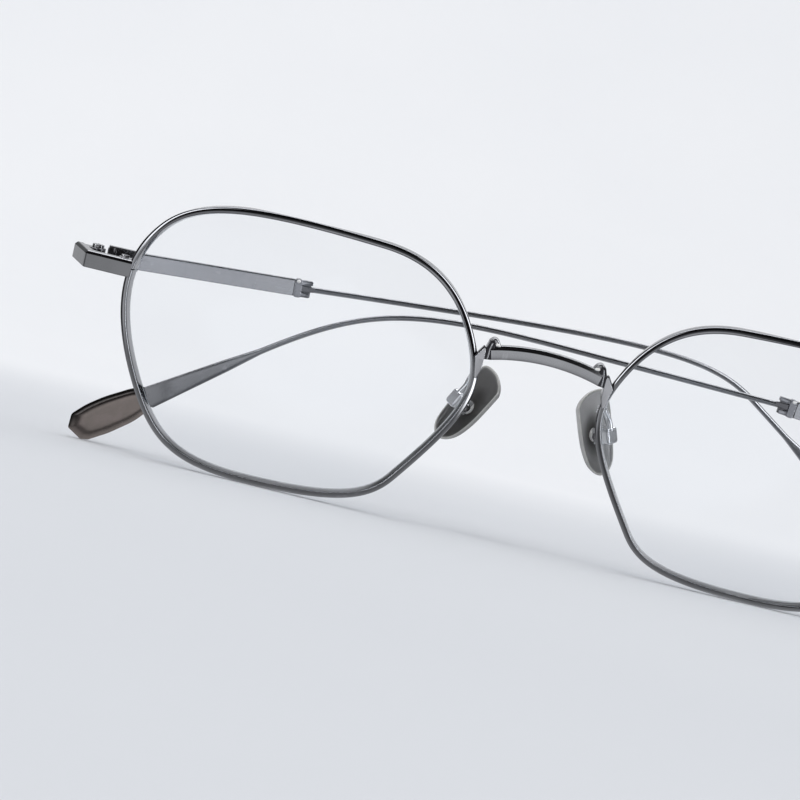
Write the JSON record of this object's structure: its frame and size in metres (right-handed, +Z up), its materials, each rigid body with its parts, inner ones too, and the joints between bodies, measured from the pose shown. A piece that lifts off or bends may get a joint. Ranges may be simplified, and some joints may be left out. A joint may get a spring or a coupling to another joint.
{
  "type": "folding metal eyeglasses",
  "caption": "Folding metal eyeglasses with thin soft six-sided rims, clear lenses, an arched bridge, rocking nose pads and wire temples, shown folded.",
  "frame": {"origin": "middle of the footprint, on the surface that the folded frame stands on", "axes": "+X to the viewer's right along the front, +Y away from the viewer towards the folded temples, +Z up"},
  "size_m": [0.1342, 0.0336, 0.037],
  "materials": {
    "front_metal": "satin, dark gunmetal",
    "plate": "satin",
    "wire": "satin",
    "fitting": "polished",
    "screw": "polished",
    "pad": "smooth, smoke tinted",
    "tip": "smooth",
    "lens": "clear, polished"
  },
  "bodies": {
    "front": {"rim_left": "front_metal", "rim_right": "front_metal", "lens_left": "lens", "lens_right": "lens", "bridge": "front_metal", "endpiece_left": "front_metal", "endpiece_right": "front_metal", "rim_lock_left": "front_metal", "rim_lock_right": "front_metal", "lock_screw_left": "screw", "lock_screw_right": "screw", "hinge_front_left": "front_metal", "hinge_front_right": "front_metal", "hinge_screw_left": "screw", "hinge_screw_right": "screw", "pad_arm_left": "wire", "pad_arm_right": "wire", "pad_box_left": "fitting", "pad_box_right": "fitting", "pad_screw_left": "screw", "pad_screw_right": "screw"},
    "temple_left": {"hinge_temple_left": "front_metal", "temple_plate_left": "plate", "temple_socket_left": "plate", "temple_wire_left": "wire", "tip_sleeve_left": "tip"},
    "pad_left": {"nose_pad_left": "pad", "pad_boss_left": "fitting"},
    "temple_right": {"hinge_temple_right": "front_metal", "temple_plate_right": "plate", "temple_socket_right": "plate", "temple_wire_right": "wire", "tip_sleeve_right": "tip"},
    "pad_right": {"nose_pad_right": "pad", "pad_boss_right": "fitting"}
  },
  "joints": [
    {"name": "left_temple_hinge", "type": "hinge", "parent": "front", "child": "temple_left", "pos_m": [-0.0637, -0.00696, 0.02585], "axis": [0, -0.168, 0.9858], "range_deg": [0, 85]},
    {"name": "right_temple_hinge", "type": "hinge", "parent": "front", "child": "temple_right", "pos_m": [0.0637, -0.00696, 0.02585], "axis": [0, 0.168, -0.9858], "range_deg": [0, 92]},
    {"name": "pad_left_rock", "type": "hinge", "parent": "front", "child": "pad_left", "pos_m": [-0.0095, -0.00901, 0.01783], "axis": [-0.4589, 0.8057, 0.3745], "range_deg": [-8, 8]},
    {"name": "pad_right_rock", "type": "hinge", "parent": "front", "child": "pad_right", "pos_m": [0.01045, -0.00929, 0.01808], "axis": [0.6288, 0.6941, 0.3504], "range_deg": [-8, 8]}
  ],
  "couplings": [
    {"joint": "right_temple_hinge", "follows": "left_temple_hinge", "ratio": 1.0823}
  ]
}
